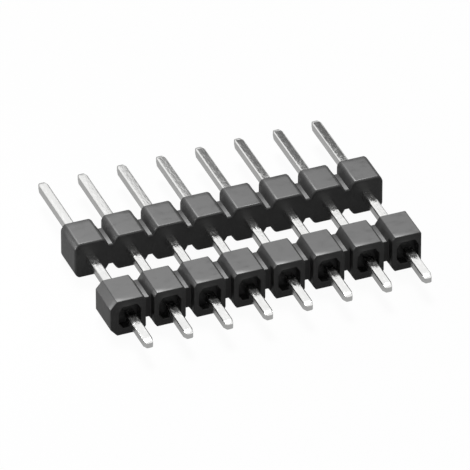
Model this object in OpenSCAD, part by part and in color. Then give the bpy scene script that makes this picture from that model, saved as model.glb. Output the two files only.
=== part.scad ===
// A single-row pin header with two insulators, lying on the flats of its insulators.
// X runs along the row, Y along the pins and Z through the thickness of the strip.
// The solder tails point to -Y and the long contact ends to +Y.
// The origin is the middle of the footprint, at the height of the surface that it lies on.

/* [Row] */
// Number of contact positions in the row
positions = 8; // [2:1:20]
// Distance between neighbouring pins, centre to centre
pitch = 2.54; // [2.4:0.01:3]

/* [Insulator] */
// Depth of each insulator along the pins
insulator_l = 2.45; // [1.8:0.05:4]
// Thickness of each insulator, from flat to flat
insulator_t = 2.44; // [2:0.02:3]
// Width of the flat on top of each block and under it
flat_w = 1.65; // [1.3:0.05:1.65]
// Full width of a block between its two webs
block_w = 2.3; // [2.15:0.01:2.35]
// Height that the sloping corner of a block takes from its side
corner_h = 0.5; // [0.3:0.02:0.6]
// Reach of the lower insulator past the first pin, where it was cut from a longer strip
lower_left_end = 1.25; // [0.86:0.01:1.27]
// Reach of the lower insulator past the last pin
lower_right_end = 0.88; // [0.86:0.01:1.27]
// Reach of the upper insulator past the first pin
upper_left_end = 1.05; // [0.86:0.01:1.27]
// Reach of the upper insulator past the last pin
upper_right_end = 1.06; // [0.86:0.01:1.27]
// Depth of the slot between two blocks, which sets their web back from the relief face
web_setback = 0.5; // [0.2:0.05:0.9]
// How far that slot cuts into the block on each side of it
slot_cut = 0.14; // [0.05:0.01:0.2]

/* [Relief pocket round each pin] */
// Width of the pocket along the row
pocket_w = 1.4; // [0.9:0.02:1.4]
// Height of the pocket through the thickness
pocket_h = 1.52; // [0.9:0.02:1.52]
// Width that a sloping corner of the pocket takes from its top
pocket_corner_w = 0.25; // [0.1:0.01:0.3]
// Height that a sloping corner of the pocket takes from its side
pocket_corner_h = 0.38; // [0.1:0.02:0.4]
// Depth of the pocket
pocket_d = 0.6; // [0.2:0.05:1]

/* [Pins] */
// Side of the square pin
pin_w = 0.6; // [0.45:0.01:0.66]
// Radius on the four long edges of a pin
pin_edge_r = 0.12; // [0.05:0.01:0.2]
// Length of the solder tail past the lower insulator
tail_l = 3.2; // [2:0.1:6]
// Clear distance between the two insulators
spacer_gap = 3.9; // [1:0.05:15]
// Length of the contact end past the upper insulator
contact_l = 5.9; // [3:0.1:12]
// Length of the pointed part at each end of a pin
point_l = 0.4; // [0.2:0.05:0.8]
// Side of the small square end of the point
point_w = 0.4; // [0.2:0.02:0.42]
// Clearance between a pin and its hole, on each side
pin_fit = 0.0; // [0:0.01:0.05]

/* [Hidden] */
$fn = 32;
cut = 1;
last = (positions - 1) * pitch;
left_end = max(lower_left_end, upper_left_end);
right_end = max(lower_right_end, upper_right_end);
row_l = left_end + last + right_end;
pin_l = tail_l + insulator_l + spacer_gap + insulator_l + contact_l;
axis_z = insulator_t / 2;
first_x = -row_l / 2 + left_end;
tail_y = -pin_l / 2;
lower_y = tail_y + tail_l;
upper_y = lower_y + insulator_l + spacer_gap;
side_h = insulator_t - 2 * corner_h;

// Turns a drawing in X and Z into a bar of the given length that runs along +Y.
module along_y(length) {
  translate([0, length, 0]) rotate([90, 0, 0]) linear_extrude(length) children();
}

// Half the height of a block's side at a given reach: a short end is cut through the sloping corner.
function side_at(reach) =
  insulator_t / 2 - corner_h * min(1, (reach - flat_w / 2) / (block_w / 2 - flat_w / 2));

// A rectangle with sloping corners, from its flats and its two sides.
module eight_corners(left, right, top, flat, left_side, right_side) {
  polygon([
    [-flat, top], [flat, top], [right, right_side], [right, -right_side],
    [flat, -top], [-flat, -top], [-left, -left_side], [-left, left_side]
  ]);
}

// Section of a pin: a square with rounded edges.
module pin_section(width, radius) {
  inner = width - 2 * radius;
  square([width, inner], center = true);
  square([inner, width], center = true);
  for (sx = [-1, 1], sy = [-1, 1]) translate([sx, sy] * inner / 2) circle(radius);
}

// Outline of a pin seen from one side, pointed at both ends, with its axis along X.
module pointed_outline() {
  side = pin_w / 2;
  tip = point_w / 2;
  polygon([
    [0, -tip], [point_l, -side], [pin_l - point_l, -side], [pin_l, -tip],
    [pin_l, tip], [pin_l - point_l, side], [point_l, side], [0, tip]
  ]);
}

// One moulded insulator with its relief face at Y = 0 and the first pin at X = 0.
module moulding(left_reach, right_reach) {
  difference() {
    union() {
      for (i = [0:positions - 1]) {
        left = i > 0 ? block_w / 2 : left_reach;
        right = i < positions - 1 ? block_w / 2 : right_reach;
        translate([i * pitch, 0, 0]) along_y(insulator_l)
          eight_corners(left, right, insulator_t / 2, flat_w / 2, side_at(left), side_at(right));
      }
      translate([0, 0, -side_h / 2]) cube([last, insulator_l, side_h]);
    }
    for (i = [0:positions - 1]) translate([i * pitch, 0, 0]) pin_cut();
    for (i = [1:positions - 1]) translate([(i - 0.5) * pitch, 0, 0]) web_slot();
  }
}

// The slot between two blocks. It is a little wider than the gap, so it also narrows their relief ends.
module web_slot() {
  slot_w = pitch - block_w + 2 * slot_cut;
  translate([-slot_w / 2, -cut, -insulator_t]) cube([slot_w, cut + web_setback, 2 * insulator_t]);
}

// What each pin takes out of a moulding: its relief pocket and its hole.
module pin_cut() {
  half = pocket_w / 2;
  side = pocket_h / 2 - pocket_corner_h;
  translate([0, -cut, 0]) along_y(cut + pocket_d)
    eight_corners(half, half, pocket_h / 2, half - pocket_corner_w, side, side);
  translate([0, -cut, 0]) along_y(insulator_l + 2 * cut) pin_section(pin_w + 2 * pin_fit, pin_edge_r + pin_fit);
}

// The insulator that sits on the circuit board, relief face towards the board.
module lower_insulator() {
  color([0.11, 0.11, 0.115])
    translate([first_x, lower_y, axis_z]) moulding(lower_left_end, lower_right_end);
}

// The same moulding turned over, so that its relief face looks along the contact ends.
module upper_insulator() {
  color([0.11, 0.11, 0.115])
    translate([first_x, upper_y + insulator_l, axis_z]) rotate([180, 0, 0])
      moulding(upper_left_end, upper_right_end);
}

// One straight square pin through both insulators.
module pin(i) {
  color([0.8, 0.8, 0.78])
    translate([first_x + (i - 1) * pitch, tail_y, axis_z])
      intersection() {
        along_y(pin_l) pin_section(pin_w, pin_edge_r);
        rotate([0, 0, 90]) linear_extrude(2 * pin_w, center = true) pointed_outline();
        rotate([90, 0, 90]) linear_extrude(2 * pin_w, center = true) pointed_outline();
      }
}

lower_insulator();
upper_insulator();
for (i = [1:positions]) pin(i);
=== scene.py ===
"""A single-row pin header with two insulators, lying on its flats on a pale studio table."""

import math
from collections import namedtuple

import bmesh
import bpy
from mathutils import Matrix, Vector


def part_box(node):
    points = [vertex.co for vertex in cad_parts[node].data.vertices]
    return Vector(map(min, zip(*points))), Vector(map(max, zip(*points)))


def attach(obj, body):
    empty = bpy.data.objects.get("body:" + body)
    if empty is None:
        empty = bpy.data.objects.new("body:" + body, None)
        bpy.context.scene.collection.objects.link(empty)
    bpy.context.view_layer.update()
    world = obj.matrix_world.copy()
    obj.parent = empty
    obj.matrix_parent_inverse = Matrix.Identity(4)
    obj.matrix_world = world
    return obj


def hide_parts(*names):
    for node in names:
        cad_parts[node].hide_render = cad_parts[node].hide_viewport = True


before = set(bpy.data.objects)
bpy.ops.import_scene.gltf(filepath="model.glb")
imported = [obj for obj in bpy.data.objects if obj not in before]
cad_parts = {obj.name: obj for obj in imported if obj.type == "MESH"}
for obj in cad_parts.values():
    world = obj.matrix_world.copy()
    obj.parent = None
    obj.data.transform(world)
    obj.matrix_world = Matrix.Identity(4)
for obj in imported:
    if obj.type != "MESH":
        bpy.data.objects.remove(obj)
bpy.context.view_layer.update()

MM = 0.001

# Sizes that the frame gives: the strip, its two mouldings and the pins
lower_low, lower_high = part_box("lower_insulator")
upper_low, upper_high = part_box("upper_insulator")
pin_names = sorted(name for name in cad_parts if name.startswith("pin_"))
pin_boxes = [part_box(name) for name in pin_names]
pin_middles = [(low + high) / 2 for low, high in pin_boxes]
pitch = pin_middles[1].x - pin_middles[0].x
axis_z = pin_middles[0].z
pin_half = (pin_boxes[0][1].x - pin_boxes[0][0].x) / 2
moulding_length = lower_high.y - lower_low.y
half_height = (lower_high.z - lower_low.z) / 2
lower_ends = (pin_middles[0].x - lower_low.x, lower_high.x - pin_middles[-1].x)
upper_ends = (pin_middles[0].x - upper_low.x, upper_high.x - pin_middles[-1].x)

# Form of a block and of the slots beside it
BLOCK_HALF = 1.15 * MM
FLAT_HALF = 0.825 * MM
CORNER_DROP = 0.5 * MM
WEB_SETBACK = 0.5 * MM
SLOT_CUT = 0.14 * MM

# Relief pocket round each pin
POCKET_HALF_WIDTH = 0.7 * MM
POCKET_HALF_HEIGHT = 0.76 * MM
POCKET_HALF_FLAT = 0.45 * MM
POCKET_HALF_SIDE = 0.38 * MM
POCKET_DEPTH = 0.6 * MM

# Pins, the ease that their holes have on each side, and how near a cut takes two points for one
PIN_EDGE = 0.12 * MM
POINT_LENGTH = 0.4 * MM
POINT_HALF = 0.2 * MM
HOLE_EASE = 0.005 * MM
CUT_TOLERANCE = 1e-8

# Finish of the edges: radii, the number of steps in them, the bends that are rounded or shaded as sharp,
# and how far large faces lead the shading
EDGE_ROUND = 0.15 * MM
POINT_ROUND = 0.17 * MM
ROUND_STEPS = 3
PIN_EDGE_STEPS = 4
ROUND_FROM = math.radians(15)
SHARP_FROM = math.radians(40)
LARGE_FACE_LEAD = 100

# Surfaces: cells of noise in a metre along X, Y and Z, and values at the low and the high end of the noise
NOISE_ROUGHNESS = 0.55
NOISE_LOW = 0.3
NOISE_HIGH = 0.7
PLASTIC_GRAIN = (22000, 22000, 22000)
PLASTIC_GRAIN_DEPTH = 0.006 * MM
PLASTIC_FLOW = (1300, 1900, 1900)
PLASTIC_COLOUR = (0.012, 0.020)
PLASTIC_ROUGHNESS = (0.36, 0.54)
TIN_MOTTLE = (8000, 3000, 8000)
TIN_MOTTLE_DEPTH = 0.014 * MM
TIN_CLOUD = (2500, 700, 2500)
TIN_COLOUR = ((0.80, 0.80, 0.79), (0.86, 0.86, 0.85))
TIN_ROUGHNESS = (0.06, 0.16)

# Camera, fitted to the perspective of the photograph: its angles are in degrees and its lens in
# millimetres. The lamps face the origin.
CAMERA_AZIMUTH = -21.896
CAMERA_ELEVATION = 34.874
CAMERA_DISTANCE = 567.4 * MM
CAMERA_LENS = 731.3
CAMERA_AIM = Vector((-0.984, -2.911, 3.202)) * MM
LAMP_AIM = Vector((0, 0, 0))

# Floor: a plain table under the lamps. By their shares, the camera sees it glow white instead, and mirrors
# see it glow grey
FLOOR_HALF = 2.0
FLOOR_GAP = 0.01 * MM
FLOOR_TONE = 0.5
FLOOR_ROUGHNESS = 0.9
CAMERA_SHARE = 0.96
MIRROR_SHARE = 0.86
MIRROR_GLOW = 0.36

# Sky, horizon and card, with tones as shares of white. The card's go with shares of its width.
SKY_FILL = 0.1
BAND_RADIUS = 1.5
BAND_HEIGHT = 0.3
BAND_SIDES = 48
BAND_TONE = 0.45
CARD_FROM = Vector((1.0, 21.8, 16)) * MM
CARD_TO = Vector((31.0, 45.0, 16)) * MM
CARD_TONES = [(0.0, 1.0), (0.1, 0.75), (0.19, 0.36), (0.27, 0.24), (0.36, 0.17), (1.0, 0.1)]

# A section square to the pins, measured from a pin's axis: its reach to the left and to the right, its half
# height, the half width of its flats, and the half height of its left and right sides
Section = namedtuple("Section", "left right height flat left_side right_side")

# The corners that octagon gives: their number, and where those of the two sides come in their order
SECTION_CORNERS = 8
RIGHT_TOP, RIGHT_FOOT, LEFT_FOOT, LEFT_TOP = 2, 3, 6, 7


def mesh_object(name, bm, material):
    """Turns a bmesh into an object with one material, and frees the bmesh."""
    mesh = bpy.data.meshes.new(name)
    bm.to_mesh(mesh)
    bm.free()
    mesh.materials.append(material)
    thing = bpy.data.objects.new(name, mesh)
    bpy.context.scene.collection.objects.link(thing)
    return thing


def new_piece(name, bm, material, node):
    """Turns a bmesh into a finished piece of the part, in the place of a CAD node."""
    bmesh.ops.recalc_face_normals(bm, faces=bm.faces)
    for edge in bm.edges:
        edge.smooth = edge.calc_face_angle() < SHARP_FROM
    piece = mesh_object(name, bm, material)
    for polygon in piece.data.polygons:
        polygon.use_smooth = True
    even = piece.modifiers.new("even shading", "WEIGHTED_NORMAL")
    even.weight = LARGE_FACE_LEAD
    even.keep_sharp = True
    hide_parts(node)
    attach(piece, "root")


def even_section(half_width, half_height, half_flat, half_side):
    """A section that reaches as far to the left as to the right."""
    return Section(half_width, half_width, half_height, half_flat, half_side, half_side)


def octagon(bm, x, y, section):
    """The eight corners of a section round the pin at x, clockwise from the left end of the top flat."""
    left, right, height, flat, left_side, right_side = section
    corners = [
        (-flat, height), (flat, height), (right, right_side), (right, -right_side),
        (flat, -height), (-flat, -height), (-left, -left_side), (-left, left_side),
    ]
    return [bm.verts.new((x + dx, y, dz)) for dx, dz in corners]


def row(bm, places, y, z):
    """New points at places along the row of pins."""
    return [bm.verts.new((x, y, z)) for x in places]


def ring(bm, corners):
    """Closes a row of corners into a ring of edges."""
    return [bm.edges.new((a, b)) for a, b in zip(corners, corners[1:] + corners[:1])]


def way_out(edge, x):
    """The direction in which an edge lies, seen from the pin at x."""
    middle = (edge.verts[0].co + edge.verts[1].co) / 2
    return Vector((middle.x - x, 0, middle.z)).normalized()


def join(bm, x, *rings):
    """Bridges each ring round a pin to the next: every edge goes to the one that lies the same way out."""
    for near, far in zip(rings, rings[1:]):
        for edge in near:
            across = max(far, key=lambda other: way_out(other, x).dot(way_out(edge, x)))
            bmesh.ops.bridge_loops(bm, edges=[edge, across])


def open_face(bm, face):
    """Takes a face away and gives back the ring of edges round the opening."""
    edges = list(face.edges)
    bmesh.ops.delete(bm, geom=[face], context="FACES_ONLY")
    return edges


def side_at(reach):
    """Half the height of the block's side where it is cut off at a reach from the pin."""
    return half_height - CORNER_DROP * min(1, (reach - FLAT_HALF) / (BLOCK_HALF - FLAT_HALF))


def pull_out(bm, faces, distance):
    """Extrudes faces along the pins and gives back the moved faces."""
    made = bmesh.ops.extrude_face_region(bm, geom=faces)["geom"]
    moved = [v for v in made if isinstance(v, bmesh.types.BMVert)]
    bmesh.ops.translate(bm, vec=(0, distance, 0), verts=moved)
    return [f for f in made if isinstance(f, bmesh.types.BMFace)]


def plain_side(bm, ends):
    """The plain face of a moulding: one face for each block, which it gives back, and three for each gap.

    The first and last of the three are as wide as a slot cuts into a block, and the middle one is the web.
    """
    blocks = []
    last = len(pin_names) - 1
    web_half = side_at(BLOCK_HALF)
    before = None
    for k in range(last + 1):
        left = ends[0] if k == 0 else BLOCK_HALF - SLOT_CUT
        right = ends[1] if k == last else BLOCK_HALF - SLOT_CUT
        section = Section(left, right, half_height, FLAT_HALF, side_at(left), side_at(right))
        corners = octagon(bm, k * pitch, moulding_length, section)
        blocks.append(bm.faces.new(corners))
        if before:
            web = [(k - 1) * pitch + BLOCK_HALF, k * pitch - BLOCK_HALF]
            tops = [before[RIGHT_TOP], *row(bm, web, moulding_length, web_half), corners[LEFT_TOP]]
            feet = [before[RIGHT_FOOT], *row(bm, web, moulding_length, -web_half), corners[LEFT_FOOT]]
            for top, next_top, foot, next_foot in zip(tops, tops[1:], feet, feet[1:]):
                bm.faces.new((top, next_top, next_foot, foot))
        before = corners
    return blocks


def bore_block(bm, x, relief_rim, plain_rim):
    """Lines the relief pocket and the hole for the pin at x, and gives back both rims of the hole."""
    hole_half = pin_half + HOLE_EASE
    hole_flat = hole_half - PIN_EDGE
    pocket = even_section(POCKET_HALF_WIDTH, POCKET_HALF_HEIGHT, POCKET_HALF_FLAT, POCKET_HALF_SIDE)
    bore = even_section(hole_half, hole_half, hole_flat, hole_flat)
    mouth, floor = (ring(bm, octagon(bm, x, y, pocket)) for y in (0, POCKET_DEPTH))
    start, end = (ring(bm, octagon(bm, x, y, bore)) for y in (POCKET_DEPTH, moulding_length))
    join(bm, x, relief_rim, mouth, floor, start, end, plain_rim)
    return start + end


def round_edges(bm, edges, radius, steps):
    """Rounds edges to a radius."""
    bmesh.ops.bevel(
        bm, geom=edges, offset=radius, offset_type="OFFSET", affect="EDGES",
        segments=steps, profile=0.5, material=-1, clamp_overlap=True,
    )


def moulding(name, place, ends, material):
    """One insulator: blocks joined by webs, with its relief face at y = 0 before it is placed."""
    bm = bmesh.new()
    plain_faces = plain_side(bm, ends)
    fronts = pull_out(bm, bm.faces[:], WEB_SETBACK - moulding_length)
    block_fronts = [f for f in fronts if len(f.verts) == SECTION_CORNERS]
    relief_faces = pull_out(bm, block_fronts, -WEB_SETBACK)
    relief_faces.sort(key=lambda f: f.calc_center_median().x)
    bmesh.ops.delete(bm, geom=block_fronts, context="FACES_ONLY")
    bore_edges = set()
    for k, (relief, plain) in enumerate(zip(relief_faces, plain_faces)):
        bore_edges.update(bore_block(bm, k * pitch, open_face(bm, relief), open_face(bm, plain)))
    bmesh.ops.recalc_face_normals(bm, faces=bm.faces)
    outer = [e for e in bm.edges if e.is_convex and e not in bore_edges]
    round_edges(bm, [e for e in outer if e.calc_face_angle() > ROUND_FROM], EDGE_ROUND, ROUND_STEPS)
    bmesh.ops.transform(bm, matrix=place, verts=bm.verts)
    new_piece(name, bm, material, name)


def pin(name, low, high, material):
    """A straight square pin with rounded edges and a blunt point at each end."""
    bm = bmesh.new()
    bmesh.ops.create_cube(bm, size=1)
    bmesh.ops.scale(bm, vec=high - low, verts=bm.verts)
    long_edges = [e for e in bm.edges if abs((e.verts[0].co - e.verts[1].co).y) > pin_half]
    round_edges(bm, long_edges, PIN_EDGE, PIN_EDGE_STEPS)
    half_length = (high.y - low.y) / 2
    for end in (-1, 1):
        shoulder = Vector((0, end * (half_length - POINT_LENGTH), 0))
        whole = bm.verts[:] + bm.edges[:] + bm.faces[:]
        bmesh.ops.bisect_plane(bm, geom=whole, plane_co=shoulder, plane_no=(0, 1, 0), dist=CUT_TOLERANCE)
    tips = [v for v in bm.verts if abs(v.co.y) > half_length - POINT_LENGTH / 2]
    narrowing = POINT_HALF / pin_half
    bmesh.ops.scale(bm, vec=(narrowing, 1, narrowing), verts=tips)
    ends = [e for e in bm.edges if all(v in tips for v in e.verts) and e.calc_face_angle() > SHARP_FROM]
    round_edges(bm, ends, POINT_ROUND, ROUND_STEPS)
    bmesh.ops.translate(bm, vec=(low + high) / 2, verts=bm.verts)
    new_piece(name, bm, material, name)


def material_tree(name):
    """A new node material: its tree, its shader and its object coordinates."""
    material = bpy.data.materials.new(name)
    material.use_nodes = True
    tree = material.node_tree
    shader = tree.nodes["Principled BSDF"]
    where = tree.nodes.new("ShaderNodeTexCoord").outputs["Object"]
    return material, tree, shader, where


def noise(tree, where, cells, detail):
    """Noise with a number of cells in a metre along X, Y and Z."""
    mapping = tree.nodes.new("ShaderNodeMapping")
    mapping.inputs["Scale"].default_value = cells
    texture = tree.nodes.new("ShaderNodeTexNoise")
    texture.inputs["Scale"].default_value = 1.0
    texture.inputs["Detail"].default_value = detail
    texture.inputs["Roughness"].default_value = NOISE_ROUGHNESS
    tree.links.new(where, mapping.inputs["Vector"])
    tree.links.new(mapping.outputs["Vector"], texture.inputs["Vector"])
    return texture.outputs["Fac"]


def ramp(tree, value, *stops):
    """Turns a value into colours or greys through stops of (place, colour)."""
    node = tree.nodes.new("ShaderNodeValToRGB")
    elements = node.color_ramp.elements
    for place, _ in stops[len(elements):]:
        elements.new(place)
    for element, (place, colour) in zip(elements, stops):
        element.position = place
        element.color = (*colour, 1) if isinstance(colour, tuple) else (colour, colour, colour, 1)
    tree.links.new(value, node.inputs["Fac"])
    return node.outputs["Color"]


def spread(tree, value, low, high):
    """Spreads noise, which keeps to the middle of its range, between two colours or greys."""
    return ramp(tree, value, (NOISE_LOW, low), (NOISE_HIGH, high))


def bump(tree, shader, height, strength, depth):
    """Small relief on the shader's surface."""
    node = tree.nodes.new("ShaderNodeBump")
    node.inputs["Strength"].default_value = strength
    node.inputs["Distance"].default_value = depth
    tree.links.new(height, node.inputs["Height"])
    tree.links.new(node.outputs["Normal"], shader.inputs["Normal"])


def black_moulding_plastic():
    """Glass-filled black plastic with the fine grain of the mould."""
    material, tree, shader, where = material_tree("black_moulding_plastic")
    shader.inputs["Specular IOR Level"].default_value = 0.5
    grain = noise(tree, where, PLASTIC_GRAIN, detail=3.0)
    flow = noise(tree, where, PLASTIC_FLOW, detail=4.0)
    tree.links.new(spread(tree, flow, *PLASTIC_COLOUR), shader.inputs["Base Color"])
    tree.links.new(spread(tree, flow, *PLASTIC_ROUGHNESS), shader.inputs["Roughness"])
    bump(tree, shader, grain, strength=0.25, depth=PLASTIC_GRAIN_DEPTH)
    return material


def bright_tin_plating():
    """Tin plating with a fine mottling, drawn out along the pin."""
    material, tree, shader, where = material_tree("bright_tin_plating")
    shader.inputs["Metallic"].default_value = 1.0
    shader.inputs["Anisotropic"].default_value = 0.3
    mottle = noise(tree, where, TIN_MOTTLE, detail=4.0)
    cloud = noise(tree, where, TIN_CLOUD, detail=3.0)
    tree.links.new(spread(tree, cloud, *TIN_COLOUR), shader.inputs["Base Color"])
    tree.links.new(spread(tree, mottle, *TIN_ROUGHNESS), shader.inputs["Roughness"])
    bump(tree, shader, mottle, strength=1.0, depth=TIN_MOTTLE_DEPTH)
    return material


def math_node(tree, operation, *values):
    """Works out one value from others, each a number or a socket."""
    node = tree.nodes.new("ShaderNodeMath")
    node.operation = operation
    for socket, value in zip(node.inputs, values):
        if isinstance(value, (int, float)):
            socket.default_value = value
        else:
            tree.links.new(value, socket)
    return node.outputs[0]


def mix_shaders(tree, share, first, second):
    """Shows the second shader by a share, and the first otherwise."""
    mix = tree.nodes.new("ShaderNodeMixShader")
    tree.links.new(share, mix.inputs["Fac"])
    tree.links.new(first, mix.inputs[1])
    tree.links.new(second, mix.inputs[2])
    return mix.outputs[0]


def stage_piece(name, bm, material):
    """Turns a bmesh into an object with one material, for the studio."""
    piece = mesh_object(name, bm, material)
    return piece


def studio_floor():
    """A pale table top, nearly white to the camera, and grey with faint shadows in the tin."""
    bm = bmesh.new()
    bmesh.ops.create_grid(bm, x_segments=1, y_segments=1, size=FLOOR_HALF)
    bmesh.ops.translate(bm, vec=(0, 0, -FLOOR_GAP), verts=bm.verts)
    material, tree, shader, _ = material_tree("pale_table")
    shader.inputs["Base Color"].default_value = (FLOOR_TONE, FLOOR_TONE, FLOOR_TONE, 1)
    shader.inputs["Roughness"].default_value = FLOOR_ROUGHNESS
    shader.inputs["Specular IOR Level"].default_value = 0.0
    rays = tree.nodes.new("ShaderNodeLightPath")
    glow = tree.nodes.new("ShaderNodeEmission")
    camera, mirror = rays.outputs["Is Camera Ray"], rays.outputs["Is Glossy Ray"]
    level = math_node(tree, "MULTIPLY_ADD", camera, 1 - MIRROR_GLOW, MIRROR_GLOW)
    tree.links.new(level, glow.inputs["Strength"])
    in_mirrors = math_node(tree, "MULTIPLY", mirror, MIRROR_SHARE)
    share = math_node(tree, "MULTIPLY_ADD", camera, CAMERA_SHARE, in_mirrors)
    surface = mix_shaders(tree, share, shader.outputs[0], glow.outputs[0])
    tree.links.new(surface, tree.nodes["Material Output"].inputs["Surface"])
    stage_piece("table_top", bm, material)


def studio_sky():
    """A weak even fill, white where the camera or a mirror sees it."""
    world = bpy.data.worlds.new("studio_sky")
    bpy.context.scene.world = world
    world.use_nodes = True
    tree = world.node_tree
    sky = tree.nodes["Background"]
    sky.inputs["Color"].default_value = (1, 1, 1, 1)
    rays = tree.nodes.new("ShaderNodeLightPath")
    seen = math_node(tree, "MAXIMUM", rays.outputs["Is Camera Ray"], rays.outputs["Is Glossy Ray"])
    seen = math_node(tree, "MAXIMUM", seen, rays.outputs["Is Transmission Ray"])
    level = math_node(tree, "MULTIPLY_ADD", seen, 1 - SKY_FILL, SKY_FILL)
    tree.links.new(level, sky.inputs["Strength"])


def glowing_material(name):
    """A material that only glows: itself, its tree, its glow and its object coordinates."""
    material, tree, _, where = material_tree(name)
    glow = tree.nodes.new("ShaderNodeEmission")
    tree.links.new(glow.outputs[0], tree.nodes["Material Output"].inputs["Surface"])
    return material, tree, glow, where


def only_in_mirrors(thing):
    """Lets a piece of the studio show in glossy surfaces alone."""
    thing.visible_camera = False
    thing.visible_diffuse = False
    thing.visible_shadow = False
    thing.visible_transmission = False


def horizon_band():
    """A grey wall round the table, below the sky."""
    bm = bmesh.new()
    bmesh.ops.create_cone(
        bm, cap_ends=False, segments=BAND_SIDES, radius1=BAND_RADIUS, radius2=BAND_RADIUS, depth=BAND_HEIGHT
    )
    bmesh.ops.translate(bm, vec=(0, 0, BAND_HEIGHT / 2), verts=bm.verts)
    material, _, glow, _ = glowing_material("horizon_band")
    glow.inputs["Strength"].default_value = BAND_TONE
    only_in_mirrors(stage_piece("horizon_band", bm, material))


def graded_card():
    """A card above and behind the contact ends, darker to the right, that their tops mirror."""
    left, right = CARD_FROM.x, CARD_TO.x
    bm = bmesh.new()
    bmesh.ops.create_grid(bm, x_segments=1, y_segments=1, size=0.5)
    bmesh.ops.scale(bm, vec=CARD_TO - CARD_FROM, verts=bm.verts)
    bmesh.ops.translate(bm, vec=(CARD_FROM + CARD_TO) / 2, verts=bm.verts)
    material, tree, glow, where = glowing_material("graded_card")
    parts = tree.nodes.new("ShaderNodeSeparateXYZ")
    tree.links.new(where, parts.inputs[0])
    across = math_node(tree, "MULTIPLY_ADD", parts.outputs["X"], 1 / (right - left), -left / (right - left))
    tree.links.new(ramp(tree, across, *CARD_TONES), glow.inputs["Color"])
    only_in_mirrors(stage_piece("graded_card", bm, material))


def placed_round(aim, azimuth, elevation, distance):
    """The place of a thing that faces the aim from so many degrees round, degrees up and metres away."""
    turn, rise = math.radians(azimuth), math.radians(elevation)
    back = Vector((math.sin(turn) * math.cos(rise), -math.cos(turn) * math.cos(rise), math.sin(rise)))
    facing = back.to_track_quat("Z", "Y").to_matrix().to_4x4()
    return Matrix.Translation(aim + back * distance) @ facing


def soft_box(name, azimuth, elevation, distance, width, height, power):
    """A rectangular studio lamp that faces the part."""
    lamp = bpy.data.lights.new(name, "AREA")
    lamp.shape = "RECTANGLE"
    lamp.size = width
    lamp.size_y = height
    lamp.energy = power
    thing = bpy.data.objects.new(name, lamp)
    thing.matrix_world = placed_round(LAMP_AIM, azimuth, elevation, distance)
    thing.visible_camera = False
    bpy.context.scene.collection.objects.link(thing)


def photograph_camera():
    """The camera of the photograph: a long lens from the front left, well above the table."""
    camera = bpy.data.cameras.new("camera")
    camera.lens = CAMERA_LENS
    camera.sensor_width = 36.0
    camera.clip_start = 0.01
    camera.clip_end = 20.0
    thing = bpy.data.objects.new("camera", camera)
    thing.matrix_world = placed_round(CAMERA_AIM, CAMERA_AZIMUTH, CAMERA_ELEVATION, CAMERA_DISTANCE)
    bpy.context.scene.collection.objects.link(thing)
    bpy.context.scene.camera = thing


photograph_camera()
bpy.context.scene.view_settings.view_transform = "Standard"

plastic = black_moulding_plastic()
tin = bright_tin_plating()

to_lower = Matrix.Translation((pin_middles[0].x, lower_low.y, axis_z))
to_upper = Matrix.Translation((pin_middles[0].x, upper_high.y, axis_z)) @ Matrix.Rotation(math.pi, 4, "X")
moulding("lower_insulator", to_lower, lower_ends, plastic)
moulding("upper_insulator", to_upper, upper_ends, plastic)
for pin_name, (pin_low, pin_high) in zip(pin_names, pin_boxes):
    pin(pin_name, pin_low, pin_high, tin)

studio_floor()
studio_sky()
horizon_band()
graded_card()
soft_box(
    "overhead_soft_box", azimuth=170, elevation=62, distance=1.0, width=0.35, height=0.35, power=16,
)
soft_box(
    "left_soft_box", azimuth=260, elevation=12, distance=0.032, width=0.016, height=0.012, power=0.0062,
)
